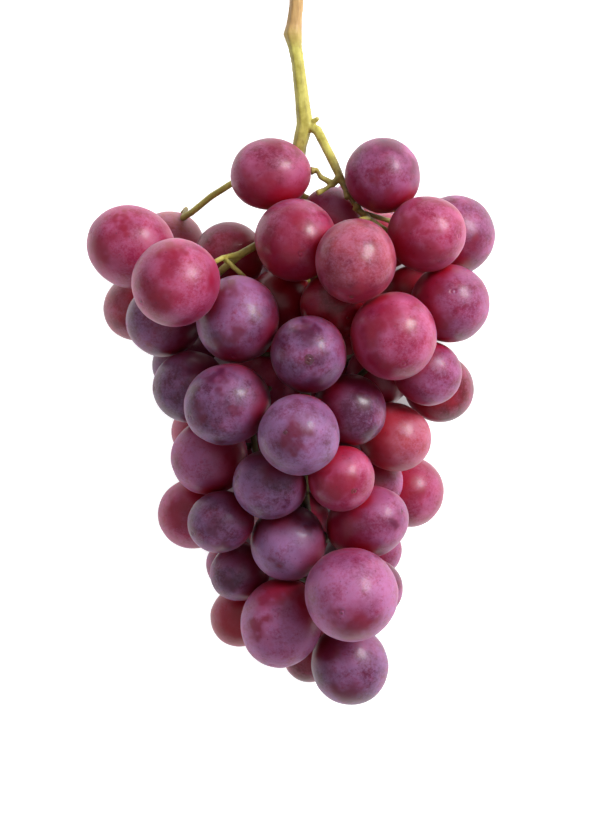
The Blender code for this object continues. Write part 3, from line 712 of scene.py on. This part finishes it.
def enclosureOf(spots):
    # how far the bunch shuts a spot of the table in: 0 in the open, 1 where grapes stand all round it; this
    # is the painted shadow under the bunch
    blocked = np.zeros(len(spots))
    turns = studioSettings["shadeTurns"]
    for turn in range(turns):
        way = np.array((math.cos(math.tau * turn / turns), math.sin(math.tau * turn / turns)))
        met = np.zeros(len(spots), dtype=bool)
        for measure in grapes.values():
            between = np.array(measure["centre"])[:2] - spots
            ahead = between @ way
            aside = (between ** 2).sum(axis=1) - ahead ** 2
            inReach = (ahead > 0) & (ahead < studioSettings["shadeReach"])
            met |= (aside < measure["halfWidth"] ** 2) & inReach
        blocked += met / turns
    shutIn = np.clip((blocked - studioSettings["shutIn"]) / studioSettings["shutInSpan"], 0.0, 1.0)
    # no painted shadow in the hollow between the shoulders, which is open to the light
    openness = (studioSettings["openAbove"] - spots[:, 1]) / studioSettings["openFade"]
    return shutIn * np.clip(openness, 0.0, 1.0)


def softbox(name, direction, distance, size, power):
    # a round soft light that faces the middle of the table
    light = bpy.data.lights.new(name, "AREA")
    light.shape = "DISK"
    light.size = size
    light.energy = power
    lamp = bpy.data.objects.new(name, light)
    bpy.context.collection.objects.link(lamp)
    way = Vector(direction).normalized()
    lamp.location = way * distance
    lamp.rotation_euler = way.to_track_quat("Z", "Y").to_euler()


# The floor is matt paper with a painted glow (emission, no lamp) that hides its shadows, and a painted shadow
# where grapes shut it in.
def buildStudio():
    bpy.ops.object.select_all(action="DESELECT")
    bpy.ops.mesh.primitive_plane_add(size=studioSettings["floorSpan"])
    floor = bpy.context.active_object
    floor.name = "paleFloor"
    bpy.ops.object.mode_set(mode="EDIT")
    bpy.ops.mesh.inset(thickness=studioSettings["floorSpan"] / 2 - studioSettings["litSpan"] / 2)
    bpy.ops.mesh.inset(thickness=(studioSettings["litSpan"] - studioSettings["shadeSpan"]) / 2)
    bpy.ops.mesh.subdivide(number_cuts=studioSettings["shadeCuts"])
    bpy.ops.object.mode_set(mode="OBJECT")
    spots = np.empty(len(floor.data.vertices) * 3)
    floor.data.vertices.foreach_get("co", spots)
    spots = spots.reshape(-1, 3)[:, :2]
    # painted shadow under the bunch, and a dimmer painted glow far out
    paintedFloorLight = 1.0 - enclosureOf(spots)
    fromMiddle = np.abs(spots).max(axis=1)
    paintedFloorLight[fromMiddle > 0.51 * studioSettings["shadeSpan"]] = studioSettings["farGlow"]
    writeColours(floor.data, "paintedFloorLight", (paintedFloorLight, paintedFloorLight, paintedFloorLight))
    material, tree, surface = newMaterial("matt_paper")
    surface.inputs["Base Color"].default_value = linearColour(studioSettings["floorGrey"])
    surface.inputs["Roughness"].default_value = 0.9
    surface.inputs["Emission Color"].default_value = linearColour(studioSettings["glowColour"])
    paintedFloorLight = addNode(tree, "ShaderNodeAttribute", {"attribute_name": "paintedFloorLight"}).outputs["Color"]
    paintedFloorLight = addNode(tree, "ShaderNodeSeparateColor", links={"Color": paintedFloorLight}).outputs[0]
    glow = addNode(tree, "ShaderNodeMapRange", values={"To Max": studioSettings["floorGlow"]},
                   links={"Value": paintedFloorLight}).outputs["Result"]
    tree.links.new(glow, surface.inputs["Emission Strength"])
    floor.data.materials.append(material)

    # the room: white, brighter overhead, and dim round the horizon, where it would only grey the rims
    world = bpy.data.worlds.new("softRoom")
    bpy.context.scene.world = world
    world.use_nodes = True
    tree = world.node_tree
    way = addNode(tree, "ShaderNodeTexCoord").outputs["Generated"]
    height = addNode(tree, "ShaderNodeSeparateXYZ", links={"Vector": way}).outputs["Z"]
    glow = addNode(tree, "ShaderNodeMapRange", {"interpolation_type": "SMOOTHSTEP"},
                   {"From Min": 0.05, "From Max": 0.5, "To Min": studioSettings["horizon"],
                    "To Max": studioSettings["zenith"]}, {"Value": height}).outputs["Result"]
    background = tree.nodes["Background"]
    background.inputs["Color"].default_value = linearColour(studioSettings["skyColour"])
    tree.links.new(glow, background.inputs["Strength"])

    softbox("keySoftbox", **studioSettings["key"])

    camera = bpy.data.cameras.new("camera")
    camera.lens = studioSettings["lens"]
    camera.sensor_width = 36.0
    cameraObject = bpy.data.objects.new("camera", camera)
    cameraObject.location = (*studioSettings["lookAt"], studioSettings["height"])
    bpy.context.collection.objects.link(cameraObject)
    bpy.context.scene.camera = cameraObject
    bpy.context.scene.view_settings.view_transform = "Standard"


slotOf = {part["node"]: part["material_slot"] for part in frame["record"]["subparts"]}
stemPoints = [corner.co.copy() for corner in frame["nodes"]["stem"].data.vertices]
grapeNames = sorted(name for name in frame["nodes"] if name.startswith("grape_"))
grapes = {name: measureGrape(frame["nodes"][name]) for name in grapeNames}
buildStudio()
print("studio ready")

lumpTexture = bpy.data.textures.new("grapeLumps", "CLOUDS")
lumpTexture.noise_scale = grapeSettings["lumpSize"]
skinMaterials = {slot: grapeSkin(slot, colours) for slot, colours in skinColours.items()}
noise.seed_set(patchSettings["seed"])    # the clock seeds it otherwise, and the patches change
masterGrape = modelGrape()
for name in grapeNames:
    finishGrape(masterGrape, name)
bpy.data.objects.remove(masterGrape, do_unlink=True)
print("grapes finished")

stalkMaterial = greenBark()
modelStalk()
print("stalk finished")
